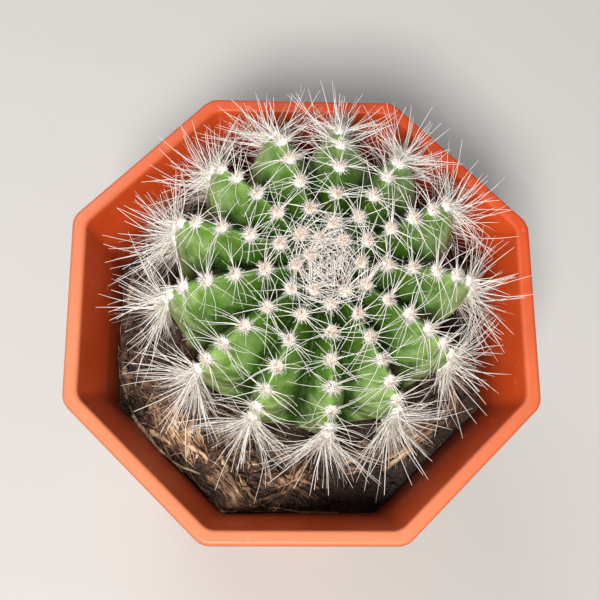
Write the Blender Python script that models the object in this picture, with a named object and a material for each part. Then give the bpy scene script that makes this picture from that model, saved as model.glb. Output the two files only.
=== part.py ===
"""Potted balloon cactus: an eight-sided plastic pot, its soil, and a ribbed ball cactus with spines."""
import math
import random

import bmesh
import bpy
from mathutils import Matrix, Vector, noise

MM = 0.001
GAP = 0.3 * MM
OVERSHOOT = 1.0 * MM

# Pot, in millimetres: half widths are measured square to its eight flats
POT_HEIGHT = 60.0
RIM_HALF_WIDTH = 35.0
LIP_WIDTH = 2.0
BAND_BOTTOM = 51.4
BAND_BOTTOM_HALF_WIDTH = 31.9
BODY_TOP_HALF_WIDTH = 30.9
FOOT_HALF_WIDTH = 25.2
FLOOR_HEIGHT = 3.4
FLOOR_HALF_WIDTH = 23.4
CHANNEL_DEPTH = 1.4
CHANNEL_OUTER = 22.4
CHANNEL_INNER = 9.9

# Sections as (half width, height, rounding radius): up the inner wall, over the lip and down to the foot
POT_SECTIONS = (
    (FLOOR_HALF_WIDTH, FLOOR_HEIGHT, 0.0),
    (28.3, 47.0, 0.0),
    (29.6, 51.6, 1.0),
    (RIM_HALF_WIDTH - LIP_WIDTH, POT_HEIGHT, 0.7),
    (RIM_HALF_WIDTH, POT_HEIGHT, 0.6),
    (RIM_HALF_WIDTH, 58.9, 0.4),
    (BAND_BOTTOM_HALF_WIDTH, BAND_BOTTOM, 0.5),
    (BODY_TOP_HALF_WIDTH, BAND_BOTTOM - 0.4, 0.4),
    (FOOT_HALF_WIDTH, 0.0, 0.8),
    (CHANNEL_OUTER, 0.0, 0.4),
    (CHANNEL_OUTER - 0.5, CHANNEL_DEPTH, 0.0),
    (CHANNEL_INNER + 0.5, CHANNEL_DEPTH, 0.0),
    (CHANNEL_INNER, 0.0, 0.4),
)
INNER_SECTIONS = POT_SECTIONS[:4]
POT_CORNER_RADIUS = 2.8
CORNER_SEGMENTS = 3
SECTION_ARC_SEGMENTS = 2
DRAIN_HOLES = 8
DRAIN_HOLE_RADIUS = 2.3 * MM
DRAIN_CIRCLE_RADIUS = 16.2 * MM
FOOT_NOTCHES = 4
FOOT_NOTCH_SIZE = Vector((8.0, 6.0, 1.1)) * MM

# Soil: fills the pot to about 13 mm below the rim, uneven, higher at the front left
SOIL_FLOOR = FLOOR_HEIGHT * MM + GAP
SOIL_WALL_HEIGHT = 45.6 * MM
SOIL_LEVEL = 47.0 * MM
SOIL_RELIEF = 1.5 * MM
SOIL_EDGE_DROP = 0.6 * MM
SOIL_RINGS = (27.0, 25.4, 23.2, 20.0, 16.0, 11.0, 5.0)
SOIL_SIDE_CUTS = 3
HUSK_CHIPS = 24
HUSK_FIBRES = 9
HUSK_SPACING = 3.2 * MM
HUSK_SEED = 8

# Ball: its centre lies at the rim's height, set back from the pot's axis, and it leans to the front
BALL_CENTRE = Vector((1.9, 3.4, 60.3)) * MM
BALL_LEAN = Matrix.Rotation(math.radians(1.1), 3, "Y") @ Matrix.Rotation(math.radians(10), 3, "X")
BALL_RADIUS = 22.2 * MM
CROWN_HEIGHT = 20.3 * MM
UNDERSIDE_DEPTH = 19.0 * MM
SHOULDER_POWER = 0.585
CROWN_DIMPLE_DEPTH = 1.3 * MM
CROWN_DIMPLE_RADIUS = 3.4 * MM
RIB_DEPTH_SHARE = 0.45
RIB_DEPTH_FALLOFF = 0.5
FLANK_POWER = 1.4
RIB_SIDE_SEGMENTS = 2
BALL_ROWS = 18
SOCKET_ROWS = 16
SOCKET_SIDES = 30
RIBS_FADE_FROM = -3.0 * MM
RIBS_FADE_TO = -12.0 * MM
FOOT_LEVEL = -17.6 * MM

# Ribs as read off the plant: azimuth in degrees, the first areole's distance from the crown and
# the spacing of the next ones in millimetres
RIBS = (
    (-2, 4.5, 3.5), (29, 6.1, 3.7), (56, 3.6, 3.75), (83, 5.3, 4.2), (108.5, 3.5, 4.05), (135, 5.3, 4.1),
    (161, 2.8, 4.05), (188, 4.5, 3.95), (218, 6.3, 3.8), (244.5, 4.4, 3.6), (273, 5.9, 3.55),
    (300, 4.7, 3.3), (329, 6.0, 3.5),
)
FURROW_SKEW = 0.24
AREOLE_STEP_GROWTH = 0.05 * MM
LOWEST_AREOLE = 51.6 * MM
AREOLE_RADIUS = 1.0 * MM
CROWN_WOOL_RADIUS = 2.6 * MM

AREOLE_SIDES = 5
AREOLE_HEIGHT = 0.65 * MM
AREOLE_ROOT = 0.25 * MM
AREOLE_TAPER = 0.62

# Spines: three-sided needles, a few of the many that each areole bears
SPINE_INSET = 0.15 * MM
SPINE_JITTER = 0.25
SPINE_LOWEST_RISE = 0.22
CENTRAL_SPINE_RISE = 0.5
RADIAL_SPINES = 3
CENTRAL_SPINES = 1
CROWN_SPINES = 9
SPINE_LENGTH_AT_CROWN = 6.0 * MM
SPINE_LENGTH_AT_SIDE = 12.5 * MM
SPINE_FLOOR = 51.9 * MM
SPINE_CLEARANCE = 0.8 * MM

SEED = 13


def clear_scene():
    """Removes whatever the scene holds."""
    for obj in list(bpy.data.objects):
        bpy.data.objects.remove(obj, do_unlink=True)


def make_material(name, colour, roughness):
    """Returns a plain Principled material."""
    material = bpy.data.materials.new(name)
    material.use_nodes = True
    shader = material.node_tree.nodes["Principled BSDF"]
    shader.inputs["Base Color"].default_value = (*colour, 1.0)
    shader.inputs["Roughness"].default_value = roughness
    shader.inputs["Metallic"].default_value = 0.0
    return material


def finish_object(bm, name, material=None):
    """Turns a bmesh into a linked object."""
    mesh = bpy.data.meshes.new(name)
    bm.to_mesh(mesh)
    bm.free()
    obj = bpy.data.objects.new(name, mesh)
    bpy.context.scene.collection.objects.link(obj)
    if material:
        mesh.materials.append(material)
    return obj


def shade_round(obj, angle=35):
    """Shades an object smooth, with its sharp edges kept."""
    obj.data.shade_smooth()
    obj.data.set_sharp_from_angle(angle=math.radians(angle))


def apply_boolean(obj, operation, solver, operand=None, collection=None):
    """Applies a Boolean of one object or of a whole collection, then removes the operands."""
    modifier = obj.modifiers.new("boolean", "BOOLEAN")
    modifier.operation = operation
    modifier.solver = solver
    if collection:
        modifier.operand_type = "COLLECTION"
        modifier.collection = collection
    else:
        modifier.object = operand
    graph = bpy.context.evaluated_depsgraph_get()
    mesh = bpy.data.meshes.new_from_object(obj.evaluated_get(graph))
    obj.modifiers.clear()
    obj.data = mesh
    operands = list(collection.objects) if collection else [operand]
    for other in operands:
        bpy.data.objects.remove(other, do_unlink=True)
    if collection:
        bpy.data.collections.remove(collection)


def make_collection(name, objects):
    """Moves objects into a new collection, as operands for a Boolean."""
    collection = bpy.data.collections.new(name)
    bpy.context.scene.collection.children.link(collection)
    for obj in objects:
        bpy.context.scene.collection.objects.unlink(obj)
        collection.objects.link(obj)
    return collection


def rounded_sections(sections):
    """Replaces each section that has a rounding radius by a short arc of sections, in metres."""
    result = []
    for index, (half_width, height, radius) in enumerate(sections):
        corner = Vector((half_width, height))
        if radius == 0.0:
            result.append(corner * MM)
            continue
        before = (Vector(sections[index - 1][:2]) - corner).normalized()
        after_index = (index + 1) % len(sections)
        after = Vector((0.0, height)) if after_index == 0 else Vector(sections[after_index][:2])
        after = (after - corner).normalized()
        half_angle = before.angle(after) / 2
        centre = corner + (before + after).normalized() * radius / math.sin(half_angle)
        start = corner + before * radius / math.tan(half_angle) - centre
        end = corner + after * radius / math.tan(half_angle) - centre
        for step in range(SECTION_ARC_SEGMENTS + 1):
            share = step / SECTION_ARC_SEGMENTS
            arm = start.lerp(end, share).normalized() * radius
            result.append((centre + arm) * MM)
    return result


def octagon_face(bm, half_width, height, side_cuts=0):
    """Adds a flat octagon with rounded corners and flats that face X and Y."""
    corner_distance = half_width / math.cos(math.pi / 8)
    ring = bmesh.ops.create_circle(bm, cap_ends=True, segments=8, radius=corner_distance)["verts"]
    bmesh.ops.rotate(bm, verts=ring, matrix=Matrix.Rotation(math.pi / 8, 3, "Z"))
    radius = half_width * POT_CORNER_RADIUS / RIM_HALF_WIDTH
    bmesh.ops.bevel(
        bm, geom=ring, affect="VERTICES", offset=radius * math.tan(math.pi / 8),
        segments=CORNER_SEGMENTS, profile=0.5, material=-1,
    )
    if side_cuts:
        long_edges = [edge for edge in bm.edges if edge.calc_length() > half_width / 3]
        bmesh.ops.subdivide_edges(bm, edges=long_edges, cuts=side_cuts)
    for vert in bm.verts:
        vert.co.z = height
    return list(bm.edges)


def extrude_ring(bm, ring, from_width, to_width, height):
    """Extrudes a ring of edges to a section of another width and height."""
    result = bmesh.ops.extrude_edge_only(bm, edges=ring)["geom"]
    verts = [item for item in result if isinstance(item, bmesh.types.BMVert)]
    for vert in verts:
        vert.co.x *= to_width / from_width
        vert.co.y *= to_width / from_width
        vert.co.z = height
    return [item for item in result if isinstance(item, bmesh.types.BMEdge)]


def build_pot():
    """The pot: its wall drawn section by section, then its drain holes and foot notches cut."""
    sections = rounded_sections(POT_SECTIONS)
    bm = bmesh.new()
    ring = octagon_face(bm, sections[0].x, sections[0].y)
    for before, section in zip(sections, sections[1:]):
        ring = extrude_ring(bm, ring, before.x, section.x, section.y)
    bmesh.ops.edgeloop_fill(bm, edges=ring)
    bmesh.ops.recalc_face_normals(bm, faces=bm.faces)
    pot = finish_object(bm, "pot", make_material("terracotta_plastic", (0.62, 0.16, 0.05), 0.5))

    cutters = []
    for index in range(DRAIN_HOLES):
        angle = (index + 0.5) * math.tau / DRAIN_HOLES
        bm = bmesh.new()
        place = Vector((math.cos(angle), math.sin(angle), 0)) * DRAIN_CIRCLE_RADIUS
        bmesh.ops.create_cone(
            bm, cap_ends=True, segments=14, radius1=DRAIN_HOLE_RADIUS, radius2=DRAIN_HOLE_RADIUS,
            depth=12 * MM, matrix=Matrix.Translation(place),
        )
        cutters.append(finish_object(bm, f"drain_cutter_{index}"))
    for index in range(FOOT_NOTCHES):
        length, width, height = FOOT_NOTCH_SIZE
        turn = Matrix.Rotation((index + 0.5) * math.tau / FOOT_NOTCHES, 4, "Z")
        place = Matrix.Translation((CHANNEL_OUTER * MM, 0, (height - OVERSHOOT) / 2))
        scale = Matrix.Diagonal((length, width, height + OVERSHOOT, 1))
        bm = bmesh.new()
        bmesh.ops.create_cube(bm, size=1, matrix=turn @ place @ scale)
        cutters.append(finish_object(bm, f"notch_cutter_{index}"))
    apply_boolean(pot, "DIFFERENCE", "EXACT", collection=make_collection("pot_cutters", cutters))
    shade_round(pot)
    return pot


def crest_profile(theta):
    """Radius and height of the rib crests, from the crown (0) over the shoulder (pi/2) to the underside."""
    radius = BALL_RADIUS * math.sin(theta)
    rise = abs(math.cos(theta)) ** SHOULDER_POWER
    height = CROWN_HEIGHT * rise if theta < math.pi / 2 else -UNDERSIDE_DEPTH * rise
    height -= CROWN_DIMPLE_DEPTH * math.exp(-(radius / CROWN_DIMPLE_RADIUS) ** 2) * (theta < math.pi / 2)
    return Vector((radius, height))


def crest_normal(theta):
    """Outward normal of the crest profile, as (radial, vertical)."""
    step = 0.02
    along = crest_profile(min(theta + step, math.pi - 0.001)) - crest_profile(max(theta - step, 0.001))
    return Vector((-along.y, along.x)).normalized()


def rib_depth(radius, height):
    """How far the furrows lie under the crests: deep at the shoulder, none at the foot."""
    fade = (height - RIBS_FADE_TO) / (RIBS_FADE_FROM - RIBS_FADE_TO)
    fade = min(max(fade, 0.0), 1.0)
    depth = RIB_DEPTH_SHARE * radius * (1 - RIB_DEPTH_FALLOFF * (radius / BALL_RADIUS) ** 2)
    return depth * fade * fade * (3 - 2 * fade)


def rib_azimuth(position):
    """Azimuth in radians at a position counted in ribs, so that 2.5 is the furrow between ribs 2 and 3.

    On both sides of the ball the furrows lie close behind the rib in front of them.
    """
    index = math.floor(position)
    low = RIBS[index % len(RIBS)][0] + 360 * (index // len(RIBS))
    high = RIBS[(index + 1) % len(RIBS)][0] + 360 * ((index + 1) // len(RIBS))
    furrow = 0.5 - FURROW_SKEW * min(max(2 * math.cos(math.radians((low + high) / 2)), -1.0), 1.0)
    share = 2 * (position - index)
    share = share * furrow if share < 1 else furrow + (share - 1) * (1 - furrow)
    return math.radians(low + (high - low) * share)


def ball_point(theta, position):
    """A point on the ribbed ball in the pot's frame, and its rib-crest normal."""
    radius, height = crest_profile(theta)
    normal = crest_normal(theta)
    from_crest = 1 - abs(2 * (position % 1) - 1)
    sunk = rib_depth(radius, height) * from_crest ** FLANK_POWER
    azimuth = rib_azimuth(position)
    outward = Vector((math.cos(azimuth), math.sin(azimuth), 0))
    up = Vector((0, 0, 1))
    point = outward * (radius - normal.x * sunk) + up * (height - normal.y * sunk)
    return BALL_CENTRE + BALL_LEAN @ point, (BALL_LEAN @ (outward * normal.x + up * normal.y)).normalized()


def crest_thetas(distances):
    """Profile angles at the given distances along the crest from the crown."""
    result = []
    theta = 0.0
    travelled = 0.0
    step = 0.002
    here = crest_profile(0.0)
    for distance in distances:
        while travelled < distance and theta < math.pi * 0.8:
            theta += step
            there = crest_profile(theta)
            travelled += (there - here).length
            here = there
        result.append(theta)
    return result


def inside_ball(point, margin):
    """Whether a point lies inside the ball's crests or within a margin of them."""
    local = BALL_LEAN.inverted() @ (point - BALL_CENTRE)
    half_height = CROWN_HEIGHT if local.z > 0 else UNDERSIDE_DEPTH
    flat = math.hypot(local.x, local.y) / (BALL_RADIUS + margin)
    rise = (abs(local.z) / (half_height + margin)) ** (1 / SHOULDER_POWER)
    return flat ** 2 + rise ** 2 < 1


def wall_half_width(height):
    """Half width of the pot's inside across its flats at a height."""
    for low, high in zip(INNER_SECTIONS, INNER_SECTIONS[1:]):
        if height <= high[1] * MM:
            share = (height / MM - low[1]) / (high[1] - low[1])
            return (low[0] + (high[0] - low[0]) * share) * MM
    return (RIM_HALF_WIDTH - LIP_WIDTH) * MM


def flat_distance(point):
    """Distance from the pot's axis, measured square to the nearest of its eight flats."""
    turns = [index * math.pi / 4 for index in range(8)]
    return max(point.x * math.cos(turn) + point.y * math.sin(turn) for turn in turns)


def soil_height(x, y):
    """Height of the soil's surface: lumpy, heaped at the front left, sunk at the right and in a corner."""
    lumps = noise.noise(Vector((x, y, 3.0 * MM)) * 160) + 0.5 * noise.noise(Vector((x, y, 9.0 * MM)) * 420)
    heap = math.exp(-((x + 17 * MM) ** 2 + (y + 17 * MM) ** 2) / (12 * MM) ** 2)
    hollow = math.exp(-((x - 12 * MM) ** 2 + (y + 24 * MM) ** 2) / (10 * MM) ** 2)
    corner = math.exp(-((x + 26 * MM) ** 2 + (y + 12 * MM) ** 2) / (5 * MM) ** 2)
    return SOIL_LEVEL + SOIL_RELIEF * (0.8 * lumps + 1.2 * heap - 1.8 * hollow - 1.8 * corner)


def build_husk_chip(index, rng, spot, turn):
    """A flat splinter of husk, bedded in the soil."""
    length = rng.uniform(3.0, 7.5) * MM
    width = rng.uniform(1.2, 2.6) * MM
    thickness = rng.uniform(0.7, 1.1) * MM
    tilt = Matrix.Rotation(rng.uniform(-0.3, 0.3), 4, "X") @ Matrix.Rotation(rng.uniform(-0.22, 0.22), 4, "Y")
    place = Matrix.Translation(spot) @ Matrix.Rotation(turn, 4, "Z") @ tilt
    bm = bmesh.new()
    bmesh.ops.create_cube(bm, size=1, matrix=place @ Matrix.Diagonal((length, width, thickness, 1)))
    for vert in bm.verts:
        vert.co += Vector([rng.uniform(-0.25, 0.25) * MM for axis in range(3)])
    return finish_object(bm, f"husk_chip_{index}")


def build_husk_fibre(index, rng, spot, turn):
    """A bent three-sided strand that comes out of the soil and goes back in."""
    length = rng.uniform(8, 14) * MM
    bend = rng.uniform(-0.5, 0.5)
    bm = bmesh.new()
    ring = bmesh.ops.create_circle(bm, cap_ends=True, segments=3, radius=0.3 * MM)["verts"]
    bmesh.ops.rotate(bm, verts=ring, matrix=Matrix.Rotation(math.pi / 2, 3, "Y"))
    edges = list(bm.edges)
    steps = 5
    for step in range(steps):
        grown = bmesh.ops.extrude_edge_only(bm, edges=edges)["geom"]
        edges = [item for item in grown if isinstance(item, bmesh.types.BMEdge)]
        moved = [item for item in grown if isinstance(item, bmesh.types.BMVert)]
        bmesh.ops.translate(bm, verts=moved, vec=(length / steps, 0, 0))
    bmesh.ops.edgeloop_fill(bm, edges=edges)
    place = Matrix.Translation(spot) @ Matrix.Rotation(turn, 4, "Z")
    for vert in bm.verts:
        share = vert.co.x / length
        vert.co.y += bend * length * share * (1 - share)
        vert.co.z += 1.3 * MM * math.sin(math.pi * share) - 0.6 * MM
    bmesh.ops.transform(bm, matrix=place, verts=bm.verts)
    bmesh.ops.recalc_face_normals(bm, faces=bm.faces)
    return finish_object(bm, f"husk_fibre_{index}")


def build_soil():
    """The soil: an octagonal plug with a lumpy top, husk bedded in it, and a plain hole for the plant."""
    rng = random.Random(HUSK_SEED)
    bm = bmesh.new()
    bottom = wall_half_width(SOIL_FLOOR) - GAP
    top = wall_half_width(SOIL_WALL_HEIGHT) - GAP
    ring = octagon_face(bm, bottom, SOIL_FLOOR, side_cuts=SOIL_SIDE_CUTS)
    ring = extrude_ring(bm, ring, bottom, top, SOIL_WALL_HEIGHT)
    width = top
    for next_width in SOIL_RINGS:
        ring = extrude_ring(bm, ring, width, next_width * MM, SOIL_LEVEL)
        width = next_width * MM
    middle = bmesh.ops.edgeloop_fill(bm, edges=ring)["faces"]
    bmesh.ops.poke(bm, faces=middle)
    for vert in bm.verts:
        height = soil_height(vert.co.x, vert.co.y)
        if vert.co.z > SOIL_WALL_HEIGHT + GAP:
            vert.co.z = height
        elif vert.co.z > SOIL_FLOOR + GAP:
            vert.co.z = min(SOIL_WALL_HEIGHT, height - SOIL_EDGE_DROP)
            narrowing = (wall_half_width(vert.co.z) - GAP) / top
            vert.co.xy *= narrowing
    bmesh.ops.recalc_face_normals(bm, faces=bm.faces)
    soil = finish_object(bm, "soil", make_material("potting_soil", (0.055, 0.032, 0.018), 0.95))

    pieces = []
    taken = []
    while len(pieces) < HUSK_CHIPS + HUSK_FIBRES:
        angle = rng.uniform(0, math.tau)
        reach = rng.uniform(15, 28) * MM
        turn = rng.uniform(0, math.tau)
        spot = Vector((math.cos(angle) * reach, math.sin(angle) * reach, 0))
        spot.z = soil_height(spot.x, spot.y) + 0.1 * MM
        fibre = len(pieces) >= HUSK_CHIPS
        far_end = spot + Matrix.Rotation(turn, 3, "Z") @ Vector((14 * MM if fibre else 4 * MM, 0, 0))
        near_end = spot if fibre else spot * 2 - far_end
        ends = (near_end, spot, (spot + far_end) / 2, far_end)
        if any(inside_ball(end + Vector((0, 0, 1.2 * MM)), 2.2 * MM) for end in ends):
            continue
        if max(flat_distance(end) for end in ends) > wall_half_width(SOIL_LEVEL) - 1.6 * MM:
            continue
        if any((spot - other).length < HUSK_SPACING for other in taken):
            continue
        taken.append(spot)
        build = build_husk_fibre if fibre else build_husk_chip
        pieces.append(build(len(pieces), rng, spot, turn))
    apply_boolean(soil, "UNION", "MANIFOLD", collection=make_collection("husk", pieces))

    bm = bmesh.new()
    bmesh.ops.create_uvsphere(bm, u_segments=SOCKET_SIDES, v_segments=SOCKET_ROWS, radius=1)
    for vert in bm.verts:
        theta = math.acos(max(min(vert.co.z, 1), -1))
        azimuth = math.atan2(vert.co.y, vert.co.x)
        radius, height = crest_profile(theta)
        height = max(height, FOOT_LEVEL) - GAP if height < 0 else height
        local = Vector((math.cos(azimuth) * (radius + GAP), math.sin(azimuth) * (radius + GAP), height))
        vert.co = BALL_CENTRE + BALL_LEAN @ local
    apply_boolean(soil, "DIFFERENCE", "EXACT", operand=finish_object(bm, "socket_cutter"))
    shade_round(soil, 60)
    return soil


def build_ball():
    """The ribbed ball with its flat foot."""
    bm = bmesh.new()
    sides = len(RIBS) * 2 * RIB_SIDE_SEGMENTS
    bmesh.ops.create_uvsphere(bm, u_segments=sides, v_segments=BALL_ROWS, radius=1)
    for vert in bm.verts:
        theta = math.acos(max(min(vert.co.z, 1), -1))
        turn = math.atan2(vert.co.y, vert.co.x) % math.tau
        position = round(turn / math.tau * sides) / sides * len(RIBS)
        if crest_profile(theta).y < FOOT_LEVEL:
            radius, height = crest_profile(theta)
            azimuth = rib_azimuth(position)
            local = Vector((math.cos(azimuth) * radius, math.sin(azimuth) * radius, FOOT_LEVEL))
            vert.co = BALL_CENTRE + BALL_LEAN @ local
        else:
            vert.co = ball_point(theta, position)[0]
    return finish_object(bm, "cactus", make_material("cactus_skin", (0.11, 0.3, 0.07), 0.55))


def areoles():
    """Every areole as (point, normal, how far from the crown to the side)."""
    result = []
    for index, (azimuth, first, spacing) in enumerate(RIBS):
        distances = []
        distance = first * MM
        while distance < 50 * MM:
            distances.append(distance)
            distance += spacing * MM + AREOLE_STEP_GROWTH * 2 * len(distances)
        for theta in crest_thetas(distances):
            point, normal = ball_point(theta, index)
            if point.z < LOWEST_AREOLE:
                break
            result.append((point, normal, min(theta / (math.pi / 2), 1.0)))
    return result


def spine_is_clear(root, tip):
    """Whether a spine stays clear of the soil, its husk and the pot's wall."""
    for step in range(1, 6):
        point = root.lerp(tip, step / 5)
        if point.z < SPINE_FLOOR:
            return False
        if point.z < POT_HEIGHT * MM + SPINE_CLEARANCE:
            if flat_distance(point) > wall_half_width(point.z) - SPINE_CLEARANCE:
                return False
    return True


def spine_tip(root, direction, length):
    """Where a spine ends, turned up and shortened where it would meet soil or pot."""
    for attempt in range(14):
        if spine_is_clear(root, root + direction * length):
            break
        direction = (direction + Vector((0, 0, 0.14))).normalized()
        length *= 0.96
    return root + direction * length


def raise_spine(bm, face, rng, normal, reach):
    """Draws one facet of a cushion of wool out into a needle."""
    bmesh.ops.inset_individual(bm, faces=[face], thickness=SPINE_INSET, use_even_offset=True)
    root = face.calc_center_median()
    outward = face.normal.copy()
    jitter = Vector([rng.uniform(-1, 1) for axis in range(3)]) * SPINE_JITTER
    direction = (outward + jitter).normalized()
    if direction.dot(normal) < SPINE_LOWEST_RISE:
        direction = (direction + normal * (SPINE_LOWEST_RISE - direction.dot(normal))).normalized()
    centre = bmesh.ops.poke(bm, faces=[face])["verts"][0]
    centre.co = spine_tip(root, direction, reach * rng.uniform(0.8, 1.2))


def build_areole(index, rng, place):
    """An areole: a low five-sided cushion of wool with needles drawn out of its facets."""
    point, normal, share = place
    size = AREOLE_RADIUS * (0.8 + 0.2 * share)
    turn = normal.to_track_quat("Z", "X").to_matrix() @ Matrix.Rotation(rng.uniform(0, math.tau), 3, "Z")
    middle = point + normal * (AREOLE_HEIGHT - AREOLE_ROOT) / 2
    bm = bmesh.new()
    bmesh.ops.create_cone(
        bm, cap_ends=True, segments=AREOLE_SIDES, radius1=size, radius2=size * AREOLE_TAPER,
        depth=AREOLE_HEIGHT + AREOLE_ROOT, matrix=Matrix.Translation(middle) @ turn.to_4x4(),
    )
    bmesh.ops.triangulate(bm, faces=bm.faces)
    bm.normal_update()
    facets = [face for face in bm.faces if (face.calc_center_median() - middle).dot(normal) > 0]
    radial = [face for face in facets if face.normal.dot(normal) < CENTRAL_SPINE_RISE]
    central = [face for face in facets if face not in radial]
    reach = SPINE_LENGTH_AT_CROWN + (SPINE_LENGTH_AT_SIDE - SPINE_LENGTH_AT_CROWN) * share ** 2
    for face in rng.sample(radial, RADIAL_SPINES) + rng.sample(central, CENTRAL_SPINES):
        raise_spine(bm, face, rng, normal, reach)
    return finish_object(bm, f"areole_{index}")


def build_crown_wool(rng):
    """The wool over the sunken crown, with short spines that cross above it."""
    point, normal = ball_point(0.001, 0)
    turn = normal.to_track_quat("Z", "X").to_matrix().to_4x4()
    scale = Matrix.Diagonal((CROWN_WOOL_RADIUS, CROWN_WOOL_RADIUS, CROWN_WOOL_RADIUS * 0.5, 1))
    bm = bmesh.new()
    bmesh.ops.create_icosphere(bm, subdivisions=2, radius=1, matrix=Matrix.Translation(point) @ turn @ scale)
    bm.normal_update()
    upper = [face for face in bm.faces if face.normal.dot(normal) > 0.6]
    for face in rng.sample(upper, CROWN_SPINES):
        raise_spine(bm, face, rng, normal, SPINE_LENGTH_AT_CROWN * 0.7)
    return finish_object(bm, "crown_wool")


def build_cactus():
    """The cactus: ball, areoles, crown wool and spines, fused into one body."""
    rng = random.Random(SEED)
    cactus = build_ball()
    pieces = [build_crown_wool(rng)]
    pieces += [build_areole(index, rng, place) for index, place in enumerate(areoles())]
    apply_boolean(cactus, "UNION", "MANIFOLD", collection=make_collection("spines", pieces))
    shade_round(cactus, 50)
    return cactus


clear_scene()
build_pot()
build_soil()
build_cactus()
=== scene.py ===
"""A balloon cactus in an eight-sided plastic pot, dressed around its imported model."""
import bisect
import math
import random

import bmesh
import bpy
from mathutils import Matrix, Vector, noise


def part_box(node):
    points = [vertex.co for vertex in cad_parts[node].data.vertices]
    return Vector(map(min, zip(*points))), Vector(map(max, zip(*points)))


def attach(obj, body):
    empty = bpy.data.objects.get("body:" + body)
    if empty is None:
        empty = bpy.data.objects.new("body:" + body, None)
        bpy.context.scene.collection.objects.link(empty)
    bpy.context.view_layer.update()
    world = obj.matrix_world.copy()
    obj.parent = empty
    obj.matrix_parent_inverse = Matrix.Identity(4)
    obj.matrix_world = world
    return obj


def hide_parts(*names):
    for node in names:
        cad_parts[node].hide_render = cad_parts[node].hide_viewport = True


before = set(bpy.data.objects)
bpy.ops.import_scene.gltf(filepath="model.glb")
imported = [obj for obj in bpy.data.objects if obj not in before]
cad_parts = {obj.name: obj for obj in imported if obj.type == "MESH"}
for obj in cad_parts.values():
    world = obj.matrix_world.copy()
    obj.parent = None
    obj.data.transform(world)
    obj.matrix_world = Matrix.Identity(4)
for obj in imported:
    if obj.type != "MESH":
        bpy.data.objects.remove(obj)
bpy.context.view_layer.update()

MM = 0.001
scene = bpy.context.scene

# Camera: held above the front of the pot and tipped down, as close and as steep as in the
# photograph. Its place and aim follow from the outline of the pot's eight-sided rim.
camera_place = Vector((-9.4, -58.7, 230.9)) * MM
camera_aim = Vector((0.0491, 0.3312, -0.9423)).normalized()
camera_up = Vector((-0.0117, 0.9436, 0.331))
camera_right = camera_aim.cross(camera_up).normalized()
camera_axes = Matrix((camera_right, camera_right.cross(camera_aim), -camera_aim)).transposed()
camera_data = bpy.data.cameras.new("camera")
camera_data.sensor_width = 36.0
camera_data.lens = 72.7
camera_data.clip_start = 0.01
camera = bpy.data.objects.new("camera", camera_data)
camera.matrix_world = Matrix.Translation(camera_place) @ camera_axes.to_4x4()
scene.collection.objects.link(camera)
scene.camera = camera
scene.view_settings.view_transform = "Standard"


# Floor and light: a plain pale table, a soft lamp high above the front, a larger and weaker one
# behind at the left, and an even pale surround that fills the shadows.
plant_middle = Vector((0, 0, 0.06))


def add_lamp(name, place, size, power, colour):
    """A square soft lamp that faces the plant."""
    data = bpy.data.lights.new(name, "AREA")
    data.size = size
    data.energy = power
    data.color = colour
    lamp = bpy.data.objects.new(name, data)
    lamp.location = place
    lamp.rotation_euler = (plant_middle - lamp.location).to_track_quat("-Z", "Y").to_euler()
    scene.collection.objects.link(lamp)


add_lamp("key_lamp", Vector((-0.09, -0.35, 0.60)), 0.14, 6.3, (1.0, 0.98, 0.94))
add_lamp("fill_lamp", Vector((-0.17, 0.28, 0.52)), 0.30, 1.3, (0.97, 0.98, 1.0))

world = bpy.data.worlds.new("surround")
scene.world = world
world.use_nodes = True
background = world.node_tree.nodes["Background"].inputs
background["Color"].default_value = (0.93, 0.96, 1.0, 1.0)
background["Strength"].default_value = 0.16


def link_mesh(bm, name):
    """Turns a finished bmesh into a linked object."""
    mesh = bpy.data.meshes.new(name)
    bm.to_mesh(mesh)
    bm.free()
    linked = bpy.data.objects.new(name, mesh)
    scene.collection.objects.link(linked)
    return linked


def new_material(name, roughness):
    """A material with its node tree and its Principled shader."""
    material = bpy.data.materials.new(name)
    material.use_nodes = True
    shader = material.node_tree.nodes["Principled BSDF"]
    shader.inputs["Roughness"].default_value = roughness
    return material, material.node_tree, shader


bm = bmesh.new()
bmesh.ops.create_circle(bm, cap_ends=True, segments=96, radius=5.0)
floor = link_mesh(bm, "floor")
table_material, _, table_shader = new_material("pale_table", 0.6)
table_shader.inputs["Base Color"].default_value = (0.50, 0.49, 0.475, 1.0)
floor.data.materials.append(table_material)


# Pot: one thin moulding of terracotta-coloured plastic, eight-sided, with a flared band under
# its lip, a foot ring with notches and drain holes in its floor. Its inside is darkened near the
# earth as painted shade, and its lip is paled at the front left as a painted highlight.
pot_high = Vector(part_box("pot")[1]) / MM
rim_half_width = pot_high.x
pot_height = pot_high.z
lip_width = 2.0
foot_ring_width = 22.4
foot_disc_width = 9.9
# The profile's corners as (half width, height, rounding radius): up the inner wall, over the lip,
# down to the foot and in to the middle of the underside.
pot_sections = (
    (23.4, 3.4, 0.0),
    (28.3, 47.0, 0.0),
    (29.6, 51.6, 1.0),
    (rim_half_width - lip_width, pot_height, 0.7),
    (rim_half_width, pot_height, 0.6),
    (rim_half_width, pot_height - 1.1, 0.4),
    (31.9, 51.4, 0.5),
    (30.9, 51.0, 0.4),
    (25.2, 0.0, 0.8),
    (foot_ring_width, 0.0, 0.4),
    (foot_ring_width - 0.5, 1.4, 0.0),
    (foot_disc_width + 0.5, 1.4, 0.0),
    (foot_disc_width, 0.0, 0.4),
)
pot_corner_radius = 2.8
drain_holes = 8
drain_radius = 2.3
drain_circle_radius = 16.2
foot_notches = 4
notch_size = (8.0, 6.0, 2.1)


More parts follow.
